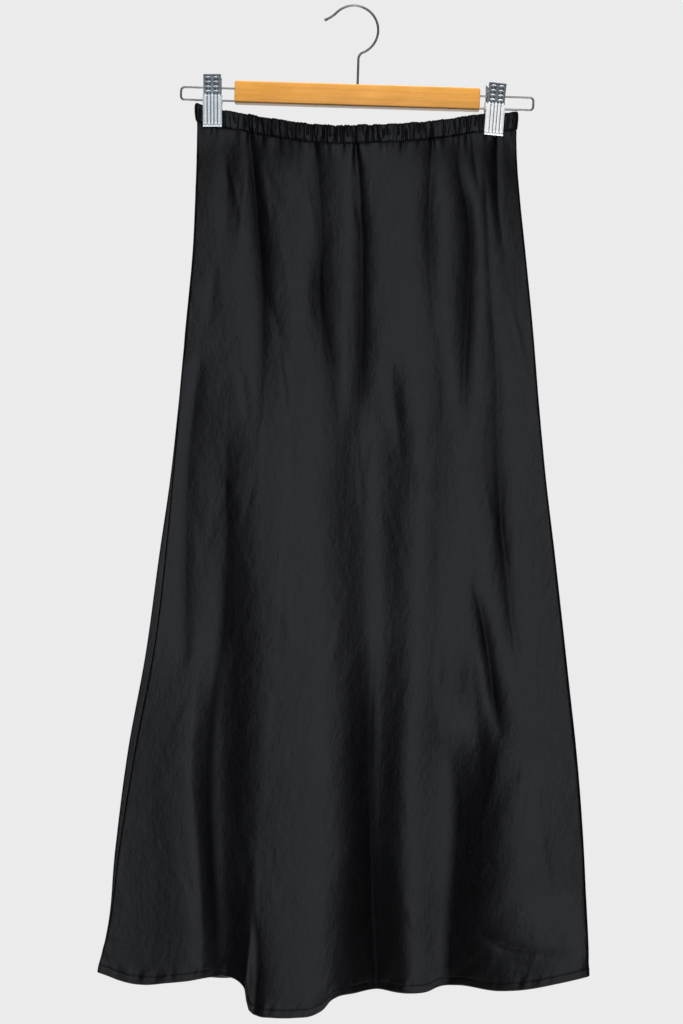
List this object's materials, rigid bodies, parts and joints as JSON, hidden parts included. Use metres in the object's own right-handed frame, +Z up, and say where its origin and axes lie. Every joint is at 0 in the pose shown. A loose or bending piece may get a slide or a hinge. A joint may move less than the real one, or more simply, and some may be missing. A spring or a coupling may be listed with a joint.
{
  "type": "midi skirt on a clip hanger",
  "caption": "Long A-line satin skirt with a gathered elastic waist, hanging from a wood and wire trouser hanger by clips near its sides; waist and hem open.",
  "frame": {"origin": "inner top of the hook, where the hanger hangs on a rail or peg", "axes": "+Z up; +Y from the skirt's front to its back; +X to the right as the front is seen"},
  "size_m": [0.4873, 0.0732, 1.0086],
  "materials": {
    "satin": "black satin weave with a soft sheen",
    "casing": "the same satin, gathered over elastic",
    "wood": "honey-coloured varnish over fine grain",
    "wire": "bright plated wire",
    "clip": "bright plated pressed sheet",
    "spring": "plain spring steel"
  },
  "bodies": {
    "root": {"front_panel": "satin", "back_panel": "satin", "waistband_front": "casing", "waistband_back": "casing", "hanger_bar": "wood", "hanger_hook": "wire", "loop_left": "wire", "loop_right": "wire", "clip_left_front": "clip", "clip_left_back": "clip", "clip_left_spring": "spring", "clip_right_front": "clip", "clip_right_back": "clip", "clip_right_spring": "spring"}
  },
  "joints": []
}
